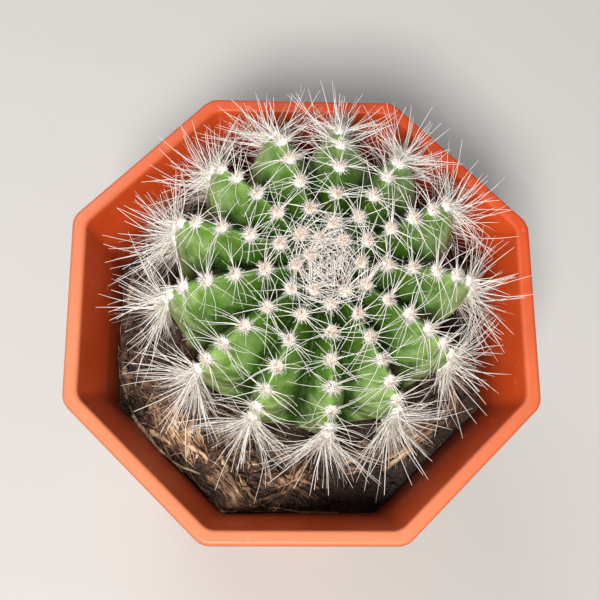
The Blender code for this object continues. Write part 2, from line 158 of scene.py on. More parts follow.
def rounded_sections(sections, arc_steps, longest):
    """Rounds the corners of a profile, and splits its straights into lengths under the longest."""
    rounded = []
    for index, (half_width, height, radius) in enumerate(sections):
        corner = Vector((half_width, height))
        if radius == 0.0:
            rounded.append(corner)
            continue
        before = (Vector(sections[index - 1][:2]) - corner).normalized()
        last = index == len(sections) - 1
        after = Vector((0.0, height)) if last else Vector(sections[index + 1][:2])
        after = (after - corner).normalized()
        half_angle = before.angle(after) / 2
        centre = corner + (before + after).normalized() * radius / math.sin(half_angle)
        start = corner + before * radius / math.tan(half_angle) - centre
        end = corner + after * radius / math.tan(half_angle) - centre
        for step in range(arc_steps + 1):
            rounded.append(centre + start.lerp(end, step / arc_steps).normalized() * radius)
    result = [rounded[0]]
    for before, after in zip(rounded, rounded[1:]):
        parts = max(1, math.ceil((after - before).length / longest))
        result += [before.lerp(after, (part + 1) / parts) for part in range(parts)]
    return result


def level_direction(angle):
    """The level direction at an angle from +X."""
    return Vector((math.cos(angle), math.sin(angle), 0))


def octagon_face(bm, half_width, height, corner_steps, side_cuts):
    """A flat octagon with rounded corners, whose flats face X, Y and the diagonals, in millimetres."""
    ring = bmesh.ops.create_circle(
        bm, cap_ends=True, segments=8, radius=half_width / math.cos(math.pi / 8)
    )["verts"]
    bmesh.ops.rotate(bm, verts=ring, matrix=Matrix.Rotation(math.pi / 8, 3, "Z"))
    radius = half_width * pot_corner_radius / rim_half_width
    bmesh.ops.bevel(
        bm, geom=ring, affect="VERTICES", offset=radius * math.tan(math.pi / 8),
        segments=corner_steps, profile=0.5, material=-1,
    )
    flats = [edge for edge in bm.edges if edge.calc_length() > half_width / 3]
    bmesh.ops.subdivide_edges(bm, edges=flats, cuts=side_cuts)
    bmesh.ops.translate(bm, verts=bm.verts, vec=(0, 0, height))
    return list(bm.edges)


def extrude_ring(bm, ring, scale, height):
    """Extrudes a ring of edges to a height, scaled about the pot's axis."""
    grown = bmesh.ops.extrude_edge_only(bm, edges=ring)["geom"]
    for item in grown:
        if isinstance(item, bmesh.types.BMVert):
            item.co = (item.co.x * scale, item.co.y * scale, height)
    return [item for item in grown if isinstance(item, bmesh.types.BMEdge)]


def add_piece(bm, name, material, node_name=None):
    """Links a finished bmesh, made in millimetres, as a smooth piece that rides on the one body."""
    bmesh.ops.scale(bm, verts=bm.verts, vec=(MM, MM, MM))
    piece = link_mesh(bm, name)
    piece.data.shade_smooth()
    piece.data.materials.append(material)
    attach(piece, "root")
    if node_name:
        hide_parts(node_name)
    return piece


def add_node(tree, kind, links=(), **values):
    """Adds a node, sets its inputs and properties by name, and links inputs to outputs."""
    node = tree.nodes.new(kind)
    for name, value in values.items():
        if name in node.inputs:
            node.inputs[name].default_value = value
        else:
            setattr(node, name, value)
    for name, output in links:
        tree.links.new(output, node.inputs[name])
    return node


def feed(tree, socket, value):
    """Links an output to an input, or sets the input to a constant."""
    if isinstance(value, bpy.types.NodeSocket):
        tree.links.new(value, socket)
    else:
        socket.default_value = value


def calculate(tree, operation, first, second, kind="ShaderNodeMath"):
    """A Math node, or one of another kind, on two values, each a socket or a constant."""
    node = add_node(tree, kind, operation=operation)
    feed(tree, node.inputs[0], first)
    feed(tree, node.inputs[1], second)
    return next(output for output in node.outputs if output.enabled)


def remap(tree, value, low, high, to_low=0.0, to_high=1.0):
    """Maps a value from one range to another, clamped."""
    ranges = {"From Min": low, "From Max": high, "To Min": to_low, "To Max": to_high}
    return add_node(tree, "ShaderNodeMapRange", [("Value", value)], **ranges).outputs[0]


def mix_colour(tree, factor, first, second):
    """Mixes two colours, each a socket or an (r, g, b), by a factor socket or number."""
    mix = add_node(tree, "ShaderNodeMix", data_type="RGBA")
    for index, value in ((0, factor), (6, first), (7, second)):
        feed(tree, mix.inputs[index], (*value, 1.0) if isinstance(value, tuple) else value)
    return mix.outputs[2]


def colour_ramp(tree, factor, stops):
    """A colour ramp over a factor: each stop is (position, colour)."""
    ramp = tree.nodes.new("ShaderNodeValToRGB")
    elements = ramp.color_ramp.elements
    for index, (position, colour) in enumerate(stops):
        element = elements[index] if index < 2 else elements.new(position)
        element.position = position
        element.color = (*colour, 1.0)
    tree.links.new(factor, ramp.inputs["Fac"])
    return ramp.outputs["Color"]


def link_surface(tree, shader, colour, marks, strength, distance):
    """Feeds a colour and a bump of the speckle's grain into the shader; the distance is in millimetres."""
    bump = add_node(
        tree, "ShaderNodeBump", [("Height", marks["Grain"])], Strength=strength, Distance=distance * MM
    )
    tree.links.new(colour, shader.inputs["Base Color"])
    tree.links.new(bump.outputs[0], shader.inputs["Normal"])


def make_speckle_group():
    """A node group for natural and worn surfaces: round specks, soft blotches and a fine grain.

    Its sizes are in millimetres, and each of its outputs is a value from 0 to 1.
    """
    group = bpy.data.node_groups.new("speckle", "ShaderNodeTree")
    for name in ("Speck Size", "Speck Share", "Blotch Size", "Grain Size"):
        group.interface.new_socket(name=name, in_out="INPUT", socket_type="NodeSocketFloat")
    for name in ("Specks", "Blotches", "Grain"):
        group.interface.new_socket(name=name, in_out="OUTPUT", socket_type="NodeSocketFloat")
    entry = group.nodes.new("NodeGroupInput").outputs
    leave = group.nodes.new("NodeGroupOutput").inputs
    place = group.nodes.new("ShaderNodeTexCoord").outputs["Object"]
    scale = calculate(group, "DIVIDE", 1.0 / MM, entry["Speck Size"])
    cells = add_node(group, "ShaderNodeTexVoronoi", [("Vector", place), ("Scale", scale)]).outputs
    draw = add_node(group, "ShaderNodeSeparateColor", [("Color", cells["Color"])]).outputs[0]
    present = calculate(group, "LESS_THAN", draw, entry["Speck Share"])
    specks = calculate(group, "MULTIPLY", present, remap(group, cells["Distance"], 0.36, 0.14))
    group.links.new(specks, leave["Specks"])
    for name, size, detail in (("Blotches", "Blotch Size", 5.0), ("Grain", "Grain Size", 3.0)):
        scale = calculate(group, "DIVIDE", 1.0 / MM, entry[size])
        cloud = add_node(
            group, "ShaderNodeTexNoise", [("Vector", place), ("Scale", scale)],
            Detail=detail, Roughness=0.6,
        )
        group.links.new(cloud.outputs["Fac"], leave[name])
    return group


speckle = make_speckle_group()


def add_speckle(tree, *sizes):
    """Places the speckle group with a material's speck size, speck share, blotch size and grain size."""
    node = tree.nodes.new("ShaderNodeGroup")
    node.node_tree = speckle
    for socket, size in zip(node.inputs, sizes):
        socket.default_value = size
    return node.outputs


def pot_plastic():
    """Satin terracotta plastic: uneven, darkened on its inside near the earth as painted shade, and paled on
    its lip at the front left as a painted highlight.
    """
    material, tree, shader = new_material("pot_plastic", 0.42)
    coordinates = tree.nodes.new("ShaderNodeTexCoord").outputs
    place = coordinates["Object"]
    height = add_node(tree, "ShaderNodeSeparateXYZ", [("Vector", place)]).outputs["Z"]
    marks = add_speckle(tree, 1.0, 0.1, 11.0, 0.35)
    colour = colour_ramp(
        tree, marks["Blotches"], ((0.3, (0.45, 0.046, 0.007)), (0.7, (0.55, 0.066, 0.012)))
    )
    # Painted highlight: the top of the lip is paled towards the front left.
    front_left = calculate(tree, "DOT_PRODUCT", place, (-0.5, -0.86, 0.0), "ShaderNodeVectorMath")
    front_left_painted_highlight = remap(tree, front_left, -30.0 * MM, 22.0 * MM, 0.0, 0.6)
    lip = calculate(tree, "MULTIPLY", remap(tree, height, 59.2 * MM, 59.9 * MM), front_left_painted_highlight)
    colour = mix_colour(tree, lip, colour, (0.74, 0.28, 0.14))
    from_axis = calculate(tree, "MULTIPLY", place, (1.0, 1.0, 0.0), "ShaderNodeVectorMath")
    facing_out = calculate(
        tree, "DOT_PRODUCT", from_axis, coordinates["Normal"], "ShaderNodeVectorMath"
    )
    inside = remap(tree, facing_out, -4.0 * MM, 0.0, 1.0, 0.0)
    # Painted shade: the inside wall darkens to deep red towards the earth.
    painted_wall_shade = remap(tree, height, 55.0 * MM, 48.5 * MM, 0.0, 0.8)
    painted_wall_shade = calculate(tree, "MULTIPLY", painted_wall_shade, inside)
    painted_wall_shade = calculate(tree, "MULTIPLY", painted_wall_shade, remap(tree, marks["Blotches"], 0.3, 0.6, 0.7, 1.0))
    colour = mix_colour(tree, painted_wall_shade, colour, (0.11, 0.013, 0.003))
    dusty = remap(tree, marks["Blotches"], 0.5, 0.62, 0.0, 0.28)
    colour = mix_colour(tree, calculate(tree, "MULTIPLY", marks["Specks"], dusty), colour, (0.75, 0.5, 0.4))
    tree.links.new(remap(tree, marks["Blotches"], 0.3, 0.7, 0.36, 0.5), shader.inputs["Roughness"])
    shader.inputs["Specular IOR Level"].default_value = 0.28
    link_surface(tree, shader, colour, marks, 0.1, 0.08)
    return material


# The pot's section is swept round the octagon, then its holes and notches are cut.
sections = rounded_sections(pot_sections, 5, 4.0)
bm = bmesh.new()
ring = octagon_face(bm, sections[0].x, sections[0].y, 6, 7)
for before, section in zip(sections, sections[1:]):
    ring = extrude_ring(bm, ring, section.x / before.x, section.y)
bmesh.ops.edgeloop_fill(bm, edges=ring)
bmesh.ops.recalc_face_normals(bm, faces=bm.faces)
piece = add_piece(bm, "pot_moulding", pot_plastic(), "pot")

cutters = bmesh.new()
for index in range(drain_holes):
    angle = (index + 0.5) * math.tau / drain_holes
    centre = Matrix.Translation(level_direction(angle) * drain_circle_radius)
    bmesh.ops.create_cone(
        cutters, cap_ends=True, segments=28, radius1=drain_radius, radius2=drain_radius, depth=12,
        matrix=centre,
    )
for index in range(foot_notches):
    turn = Matrix.Rotation((index + 0.5) * math.tau / foot_notches, 4, "Z")
    block = Matrix.Translation((foot_ring_width, 0, 0.05)) @ Matrix.Diagonal((*notch_size, 1))
    bmesh.ops.create_cube(cutters, size=1, matrix=turn @ block)
bmesh.ops.scale(cutters, verts=cutters.verts, vec=(MM, MM, MM))
cutter = link_mesh(cutters, "pot_cutters")
modifier = piece.modifiers.new("holes", "BOOLEAN")
modifier.operation = "DIFFERENCE"
modifier.object = cutter
graph = bpy.context.evaluated_depsgraph_get()
mesh = bpy.data.meshes.new_from_object(piece.evaluated_get(graph))
piece.modifiers.clear()
piece.data = mesh
mesh.set_sharp_from_angle(angle=math.radians(40))
bpy.data.objects.remove(cutter, do_unlink=True)


# Soil: a damp mix of peat and coir, poured in to about thirteen millimetres under the lip. It is
# crumbly, heaped at the front left and low at the front right, and hollowed where the plant sits.
soil_floor = 3.7
soil_level = 47.0
soil_relief = 1.5
bed_cells = 190
bed_half_size = 31
wall_gap = 0.05
ball_centre = Vector((1.9, 3.4, 60.3))
ball_lean = Matrix.Rotation(math.radians(1.1), 3, "Y") @ Matrix.Rotation(math.radians(10), 3, "X")
ball_radius = 22.2
crown_height = 20.3
underside_depth = 19.0
shoulder_power = 0.585


def soil_height(x, y):
    """Height of the bed's main form at a place in the pot, as in the packed soil."""
    lumps = noise.noise(Vector((x, y, 3.0)) * 0.16) + 0.5 * noise.noise(Vector((x, y, 9.0)) * 0.42)
    heap = math.exp(-((x + 17) ** 2 + (y + 17) ** 2) / 12 ** 2)
    hollow = math.exp(-((x - 12) ** 2 + (y + 24) ** 2) / 10 ** 2)
    corner = math.exp(-((x + 26) ** 2 + (y + 12) ** 2) / 5 ** 2)
    return soil_level + soil_relief * (0.8 * lumps + 1.2 * heap - 1.8 * hollow - 1.8 * corner)


def bed_height(x, y):
    """Height of the bed with its fine unevenness."""
    place = Vector((x, y, 0))
    fine = 0.38 * noise.noise(place * 0.8) + 0.3 * noise.noise(place * 1.9) + 0.16 * noise.noise(place * 4.1)
    return soil_height(x, y) + fine


def wall_half_width(height):
    """Half width of the pot's inside across its flats at a height."""
    for low, high in zip(pot_sections[:3], pot_sections[1:4]):
        if height <= high[1]:
            return low[0] + (high[0] - low[0]) * (height - low[1]) / (high[1] - low[1])
    return rim_half_width - lip_width


pot_flats = [level_direction(index * math.tau / 8) for index in range(8)]


def ball_nearness(point, margin=0.0):
    """One on the hull of the plant's body, grown by a margin, less inside it and more outside."""
    local = ball_lean.inverted() @ (point - ball_centre)
    half_height = crown_height if local.z > 0 else underside_depth
    flat = math.hypot(local.x, local.y) / (ball_radius + margin)
    rise = (abs(local.z) / (half_height + margin)) ** (1 / shoulder_power)
    return flat ** 2 + rise ** 2


def heap_and_shade_share(place):
    """How much coir has heaped up at a place: most at the front left, least at the front right, where a
    patch of painted shade lowers it further and darkens the soil.
    """
    left = math.exp(-((place.x + 17) ** 2 + (place.y + 16) ** 2) / 15 ** 2)
    right = math.exp(-((place.x - 24) ** 2 + (place.y - 2) ** 2) / 11 ** 2)
    # Painted shade: a dark patch at the front right, where the soil lies in shadow.
    painted_shade_patch = math.exp(-((place.x - 12) ** 2 + (place.y + 25) ** 2) / 9 ** 2)
    return min(1.0, 0.22 + left + 0.5 * right) * (1 - 0.85 * painted_shade_patch)


def read_attribute(tree, name):
    """A value that is stored in a mesh's vertices."""
    return add_node(tree, "ShaderNodeAttribute", attribute_name=name).outputs["Fac"]


def potting_soil():
    """Damp peat, nearly black between its crumbs, dry and tan where coir has heaped up, and darkened at the
    front right as painted shade.
    """
    material, tree, shader = new_material("potting_soil", 0.92)
    marks = add_speckle(tree, 0.9, 0.3, 6.0, 0.5)
    damp = colour_ramp(
        tree, marks["Grain"], ((0.35, (0.005, 0.002, 0.002)), (0.66, (0.034, 0.014, 0.008)))
    )
    dry = colour_ramp(
        tree, marks["Grain"], ((0.35, (0.03, 0.015, 0.008)), (0.65, (0.17, 0.09, 0.048)))
    )
    dryness_and_shade = read_attribute(tree, "dryness_and_shade")
    dryness_and_shade = calculate(tree, "MULTIPLY", dryness_and_shade, remap(tree, marks["Blotches"], 0.38, 0.6))
    colour = mix_colour(tree, dryness_and_shade, damp, dry)
    flecks = calculate(tree, "MULTIPLY", marks["Specks"], dryness_and_shade)
    colour = mix_colour(tree, flecks, colour, (0.2, 0.12, 0.07))
    link_surface(tree, shader, colour, marks, 0.9, 0.4)
    return material


soil_material = potting_soil()


def cut_across(bm, place, side, clear_outer=False):
    """Cuts a whole bmesh at a plane, and clears what lies beyond it where asked."""
    geometry = bm.verts[:] + bm.edges[:] + bm.faces[:]
    bmesh.ops.bisect_plane(bm, geom=geometry, plane_co=place, plane_no=side, clear_outer=clear_outer)


# A fine grid is cut to the pot's octagon, raised to the bed and closed down to the floor.
bm = bmesh.new()
bmesh.ops.create_grid(bm, x_segments=bed_cells, y_segments=bed_cells, size=bed_half_size)
top_width = wall_half_width(soil_level) - wall_gap
for index in range(16):
    side = level_direction(index * math.tau / 16)
    reach = top_width if index % 2 == 0 else top_width / math.cos(math.pi / 8) - 0.2
    cut_across(bm, side * reach, side, True)
dryness_and_shade_layer = bm.verts.layers.float.new("dryness_and_shade")
for vert in bm.verts:
    height = bed_height(vert.co.x, vert.co.y)
    place = Vector((vert.co.x, vert.co.y, height))
    vert[dryness_and_shade_layer] = heap_and_shade_share(place)
    if ball_nearness(place, -1.5) < 1:
        while ball_nearness(place, 0.3) < 1:
            place.z -= 0.25
    for flat in pot_flats:
        place -= flat * max(0.0, place.dot(flat) - wall_half_width(place.z) + wall_gap)
    vert.co = place
rim = [edge for edge in bm.edges if edge.is_boundary]
foot_scale = (wall_half_width(soil_floor) - 0.2) / top_width
rim = extrude_ring(bm, rim, foot_scale, soil_floor)
bmesh.ops.edgeloop_fill(bm, edges=rim)
bmesh.ops.recalc_face_normals(bm, faces=bm.faces)
add_piece(bm, "soil_bed", soil_material, "soil")


# Crumbs: loose lumps of peat all over the bed, none of them round. They lie half sunk in the
# soil, and are as damp or as dry as the soil round them, and as darkened by its painted shade
# at the front right.
soil_rng = random.Random(21)
crumb_count = 2600


def loose_place(inset):
    """A random place on the bed, clear of the wall by an inset and clear of the plant's body."""
    while True:
        x = soil_rng.uniform(-30, 30)
        y = soil_rng.uniform(-30, 30)
        place = Vector((x, y, bed_height(x, y)))
        if max(place.dot(flat) for flat in pot_flats) > wall_half_width(soil_level) - inset:
            continue
        if ball_nearness(place, 0.2) > 1:
            return place


def join_batches(batches):
    """Gathers small bmeshes into one, which is far quicker than growing a large one bit by bit."""
    whole = bmesh.new()
    for batch in batches:
        mesh = bpy.data.meshes.new("batch")
        batch.to_mesh(mesh)
        batch.free()
        whole.from_mesh(mesh)
        bpy.data.meshes.remove(mesh)
    return whole


# Each crumb is a jittered icosphere, flattened and turned at random.
batches = []
for index in range(crumb_count):
    if index % 100 == 0:
        batches.append(bmesh.new())
        dryness_and_shade_layer = batches[-1].verts.layers.float.new("dryness_and_shade")
    size = 0.16 + 0.5 * soil_rng.random() ** 3
    place = loose_place(size + 0.2)
    axes = Matrix.Rotation(soil_rng.uniform(0, math.tau), 4, "Z") @ Matrix.Rotation(
        soil_rng.uniform(0, math.pi), 4, "X"
    )
    length, thickness = size * soil_rng.uniform(0.8, 1.5), size * soil_rng.uniform(0.6, 1)
    stretch = Matrix.Diagonal((length, size, thickness, 1))
    sink = Matrix.Translation(place + Vector((0, 0, 0.3 * size)))
    lump = bmesh.ops.create_icosphere(
        batches[-1], subdivisions=1, radius=1, matrix=sink @ axes @ stretch
    )["verts"]
    dryness_and_shade = heap_and_shade_share(place)
    for vert in lump:
        vert.co += (vert.co - place) * soil_rng.uniform(-0.3, 0.3)
        vert[dryness_and_shade_layer] = dryness_and_shade
add_piece(join_batches(batches), "soil_crumbs", soil_material)


# Coir: fibres and torn strips of coconut husk, tan to dark brown. Most lie in torn tufts on the
# heap and along the wall, the rest loose, and some arch out of the soil and go back in.
loose_fibres = 1100


def add_strand_layers(bm):
    """Layers for a strand's tone and for the share of the way along it."""
    return bm.verts.layers.float.new("tone"), bm.verts.layers.float.new("along")


def strand_template(sides, steps, tip_radius):
    """A straight strand up from the origin: one long, one in radius, with a ring at every step."""
    bm = bmesh.new()
    bmesh.ops.create_cone(
        bm, cap_ends=True, segments=sides, radius1=1, radius2=tip_radius, depth=1,
        matrix=Matrix.Translation((0, 0, 0.5)),
    )
    for step in range(1, steps):
        cut_across(bm, (0, 0, step / steps), (0, 0, 1))
    add_strand_layers(bm)
    mesh = bpy.data.meshes.new("strand_template")
    bm.to_mesh(mesh)
    bm.free()
    return mesh


def add_strand(bm, template, points, radius, tone, thickness=None, ragged=0.0):
    """Bends a copy of a straight strand along points.

    A thickness under the radius makes it a strip, and raggedness, a share of the radius, tears its edges.
    """
    start = len(bm.verts)
    bm.from_mesh(template)
    bm.verts.ensure_lookup_table()
    tone_layer = bm.verts.layers.float["tone"]
    along_layer = bm.verts.layers.float["along"]
    last = len(points) - 1
    aim = (points[last] - points[0]).normalized()
    level = Vector((0, 0, 1)) if abs(aim.z) < 0.8 else Vector((1, 0, 0))
    thickness = thickness or radius
    for vert in bm.verts[start:]:
        share = vert.co.z
        index = round(share * last)
        run = (points[min(index + 1, last)] - points[max(index - 1, 0)]).normalized()
        across = run.cross(level).normalized()
        above = across.cross(run)
        torn = 1 + soil_rng.uniform(-ragged, ragged) if ragged else 1.0
        vert.co = points[index] + across * vert.co.x * radius * torn + above * vert.co.y * thickness
        vert[tone_layer] = tone
        vert[along_layer] = share


def settle(point, inset):
    """Moves a point of a loose strand in from the wall and out of the plant's body."""
    for flat in pot_flats:
        over = point.dot(flat) - (wall_half_width(max(point.z, soil_floor)) - inset)
        if over > 0:
            point -= flat * over
    for attempt in range(12):
        if ball_nearness(point, 0.3) > 1:
            break
        away = Vector((point.x - ball_centre.x, point.y - ball_centre.y, 0)).normalized()
        point += away * 0.4
    return point


def wandering_points(place, heading, length, steps, arch, wander, inset=0.25):
    """Points of a strand that lies on the bed, curves at random and arches up in its middle."""
    points = []
    here = place.copy()
    turn = soil_rng.uniform(-wander, wander)
    for step in range(steps + 1):
        share = step / steps
        ground = bed_height(here.x, here.y)
        point = Vector((here.x, here.y, ground + 0.12 + arch * math.sin(math.pi * share)))
        points.append(settle(point, inset))
        heading += turn + soil_rng.uniform(-wander, wander) * 0.5
        here += level_direction(heading) * length / steps
    return points


# Each long strand has its points on the bed, its radius and thickness, and its tone.
long_strands = (
    (((-26, -13), (-23, -17.3), (-19.8, -20.7), (-15.2, -22.7)), 0.36, 0.25, 0.95),
    (((-27.5, -8), (-26.3, -12), (-22.5, -17.5)), 0.22, 0.2, 0.8),
    (((-12, -20), (-11, -24), (-8.5, -27), (-6.5, -28.6)), 0.4, 0.3, 0.9),
    (((-9, -28), (-4, -27.6), (1, -28.4), (6, -28.2)), 0.16, 0.16, 0.8),
    (((12, -21), (16, -19.5), (20, -15.5)), 0.3, 0.2, 0.5),
)
# Each bundle of husk is a torn tuft of fibres that run the same way: its middle line on the bed,
# its half width, its number of fibres, and its tone.
husk_bundles = (
    (((-23.2, -10.7), (-21.1, -13.4), (-18.7, -17.3), (-15.7, -20.7)), 3, 90, 0.95),
    (((-20.4, -11), (-18.5, -14.1), (-16.6, -18), (-14.5, -21)), 2.6, 70, 1),
    (((-12.5, -21.8), (-10.3, -24.7), (-8.2, -27.2), (-5.3, -28.6)), 1.8, 60, 0.8),
    (((-15, -24), (-12.6, -26), (-11.2, -28), (-8.3, -28.3)), 1.2, 34, 0.7),
    (((-7.5, -19.5), (-4.5, -22.5), (-1, -24.5), (2, -27)), 2.2, 56, 0.62),
    (((1.5, -20.5), (-2.3, -24.9), (-5.8, -27.2)), 1.8, 44, 0.7),
    (((-28, -2.3), (-27.2, -6.5), (-25.1, -9.7)), 2.2, 50, 0.38),
    (((-25.1, -1.9), (-24, -7), (-21.7, -9.7)), 2.4, 60, 0.52),
    (((-27, 2.5), (-26.3, 7), (-24, 11)), 2.2, 40, 0.5),
    (((6.5, -19.2), (12.2, -18.6), (17.8, -16), (22.4, -12.6)), 1.7, 90, 0.85),
    (((22.2, -7.4), (23.6, -10.3), (21.5, -13.6)), 2, 50, 0.6),
    (((26, 1), (26.6, -4.3), (25.2, -9.6)), 2, 56, 0.65),
    (((22, 17.5), (25, 12), (26.5, 5)), 2, 50, 0.5),
    (((-16, 22.5), (-8, 26.5), (2, 27)), 1.8, 50, 0.5),
    (((5, 27.2), (13, 25.6), (19, 21)), 1.8, 50, 0.45),
)


def curve_through(knots, steps):
    """Evenly shared points of a smooth level curve through knots, each an (x, y)."""
    knots = [Vector((*knot, 0)) for knot in knots]
    padded = [knots[0] * 2 - knots[1], *knots, knots[-1] * 2 - knots[-2]]
    points = []
    for step in range(steps + 1):
        position = step / steps * (len(knots) - 1)
        index = min(int(position), len(knots) - 2)
        share = position - index
        first, second, third, fourth = padded[index:index + 4]
        points.append(
            second
            + (third - first) * share * 0.5
            + (first - second * 2.5 + third * 2 - fourth * 0.5) * share ** 2
            + (second * 1.5 - third * 1.5 + (fourth - first) * 0.5) * share ** 3
        )
    return points


def bundle_points(middle, half_width, inset):
    """Points of one fibre of a bundle: a stretch of its middle line, moved aside and lifted."""
    first = soil_rng.randrange(0, 13)
    last = min(len(middle) - 1, first + soil_rng.randrange(8, 18))
    aside = soil_rng.gauss(0, 0.45)
    drift = soil_rng.gauss(0, 0.35)
    lift = 0.2 + 1.3 * soil_rng.random() * max(0.0, 1 - abs(aside))
    points = []
    for step in range(9):
        index = round(first + (last - first) * step / 8)
        run = middle[min(index + 1, len(middle) - 1)] - middle[max(index - 1, 0)]
        across = run.cross(Vector((0, 0, 1))).normalized()
        offset = aside + drift * (step / 4 - 1) + soil_rng.uniform(-0.05, 0.05)
        point = middle[index] + across * half_width * offset
        arch = 0.35 + 0.65 * math.sin(math.pi * step / 8)
        point.z = bed_height(point.x, point.y) + 0.1 + lift * arch
        points.append(settle(point, inset))
    return points


def husk_fibre():
    """Coir from dark brown to straw, by the strand's tone, with darker flecks along it."""
    material, tree, shader = new_material("husk_fibre", 0.8)
    tone = read_attribute(tree, "tone")
    marks = add_speckle(tree, 0.7, 0.3, 2.5, 0.25)
    tone = calculate(tree, "ADD", tone, remap(tree, marks["Blotches"], 0.36, 0.64, -0.36, 0.22))
    colour = colour_ramp(
        tree, tone,
        ((0.05, (0.018, 0.008, 0.005)), (0.42, (0.105, 0.052, 0.028)), (0.76, (0.37, 0.21, 0.12)),
         (1.0, (0.62, 0.44, 0.28))),
    )
    link_surface(tree, shader, colour, marks, 0.6, 0.15)
    return material


# Long strands come first, then the torn tufts, then loose fibres and strips at random.
long_template = strand_template(6, 20, 0.45)
short_template = strand_template(5, 8, 0.35)
strip_template = strand_template(4, 5, 0.6)
long_strip_template = strand_template(4, 8, 0.4)
batches = [bmesh.new()]
for knots, radius, thickness, tone in long_strands:
    points = curve_through(knots, 20)
    for point in points:
        point.z = bed_height(point.x, point.y) + thickness * 0.9
        settle(point, radius * 0.8)
    add_strand(batches[-1], long_template, points, radius, tone, thickness)
for knots, half_width, count, tone in husk_bundles:
    batches.append(bmesh.new())
    middle = curve_through(knots, 24)
    for index in range(count):
        torn_strip = index % 5 == 0
        points = bundle_points(middle, half_width, 1.2 if torn_strip else 0.3)
        fibre_tone = tone * soil_rng.uniform(0.45, 1.05)
        if torn_strip:
            add_strand(
                batches[-1], long_strip_template, points, soil_rng.uniform(0.3, 0.8), fibre_tone,
                soil_rng.uniform(0.06, 0.12), 0.45,
            )
        else:
            add_strand(batches[-1], short_template, points, soil_rng.uniform(0.06, 0.17), fibre_tone)
for index in range(loose_fibres):
    if index % 60 == 0:
        batches.append(bmesh.new())
    place = loose_place(0.4)
    if soil_rng.random() > heap_and_shade_share(place):
        continue
    # Loose fibres are darker at the front right, as painted shade.
    heap_and_shade = heap_and_shade_share(place)
    heading = math.tau * noise.noise(place * 0.07) + soil_rng.gauss(0, 0.9)
    tone = min(1.0, soil_rng.uniform(0.1, 0.75) * (0.5 + 0.7 * heap_and_shade))
    if index % 4 == 0:
        length = soil_rng.uniform(1.5, 4.5)
        points = wandering_points(place, heading, length, 5, 0.25 * heap_and_shade, 0.12, 0.9)
        add_strand(
            batches[-1], strip_template, points, soil_rng.uniform(0.2, 0.6), tone,
            soil_rng.uniform(0.06, 0.12), 0.45,
        )
    else:
        length = soil_rng.uniform(3.0, 10.0)
        arch = soil_rng.random() ** 2 * 1.4 * heap_and_shade
        points = wandering_points(place, heading, length, 8, arch, 0.3)
        add_strand(batches[-1], short_template, points, soil_rng.uniform(0.04, 0.13), tone)
add_piece(join_batches(batches), "coir_strands", husk_fibre())


# Body: the plant's ball-shaped stem, thirteen sharp ribs with deep furrows between them and a
# woolly dimple at its crown. It stands in its hole in the soil and leans a little to the front.

# Each rib has its azimuth in degrees, its first areole's distance from the crown along the
# crest, and the spacing of the next ones.
ball_ribs = (
    (-2, 4.5, 3.5), (29, 6.1, 3.7), (56, 3.6, 3.75), (83, 5.3, 4.2), (108.5, 3.5, 4.05), (135, 5.3, 4.1),
    (161, 2.8, 4.05), (188, 4.5, 3.95), (218, 6.3, 3.8), (244.5, 4.4, 3.6), (273, 5.9, 3.55),
    (300, 4.7, 3.3), (329, 6.0, 3.5),
)
furrow_skew = 0.24
dimple_depth = 1.3
dimple_radius = 3.4
rib_depth_share = 0.45
depth_falloff = 0.5
flank_power = 1.4
foot_level = -17.6
ribs_fade_from = -3.0
ribs_fade_to = -12.0
areole_step_growth = 0.05
lowest_areole = 51.6
crest_steps = 1600
crest_end = math.pi * 0.8
body_rows = 160
rib_sides = 16


def crest_profile(theta):
    """Radius and height of the rib crests, from the crown at 0 over the side to the underside."""
    radius = ball_radius * math.sin(theta)
    rise = abs(math.cos(theta)) ** shoulder_power
    if theta > math.pi / 2:
        return Vector((radius, -underside_depth * rise))
    return Vector((radius, crown_height * rise - dimple_depth * math.exp(-(radius / dimple_radius) ** 2)))


def crest_normal(theta):
    """Outward normal of the crest profile, as (radial, vertical)."""
    along = crest_profile(min(theta + 0.02, math.pi - 0.001)) - crest_profile(max(theta - 0.02, 0.001))
    return Vector((-along.y, along.x)).normalized()


def rib_azimuth(position):
    """Azimuth in radians at a position counted in ribs: 2 is a crest and 2.5 the furrow after it.

    At the plant's sides a furrow lies close behind the rib in front of it.
    """
    count = len(ball_ribs)
    index = math.floor(position)
    low = ball_ribs[index % count][0] + 360 * (index // count)
    high = ball_ribs[(index + 1) % count][0] + 360 * ((index + 1) // count)
    furrow = 0.5 - furrow_skew * min(max(2 * math.cos(math.radians((low + high) / 2)), -1.0), 1.0)
    share = 2 * (position - index)
    share = share * furrow if share < 1 else furrow + (share - 1) * (1 - furrow)
    return math.radians(low + (high - low) * share)


def ball_point(theta, position, proud=0.0):
    """A point on the ribbed body, and the rib crest's outward direction there."""
    radius, height = crest_profile(theta)
    normal = crest_normal(theta)
    from_crest = 1 - abs(2 * (position % 1) - 1)
    fade = min(max((height - ribs_fade_to) / (ribs_fade_from - ribs_fade_to), 0.0), 1.0)
    depth = rib_depth_share * radius * (1 - depth_falloff * (radius / ball_radius) ** 2)
    depth = depth * fade * fade * (3 - 2 * fade)
    sunk = depth * from_crest ** flank_power - proud
    azimuth = rib_azimuth(position)
    outward = level_direction(azimuth)
    up = Vector((0, 0, 1))
    point = outward * (radius - normal.x * sunk) + up * max(height - normal.y * sunk, foot_level)
    return ball_centre + ball_lean @ point, (ball_lean @ (outward * normal.x + up * normal.y)).normalized()


crest_lengths = [0.0]
for step in range(crest_steps):
    low, high = (crest_profile(crest_end * (step + end) / crest_steps) for end in (0, 1))
    crest_lengths.append(crest_lengths[-1] + (high - low).length)


def crest_theta(distance):
    """Profile angle at a distance along a crest from the crown."""
    return crest_end * bisect.bisect_left(crest_lengths, distance) / crest_steps


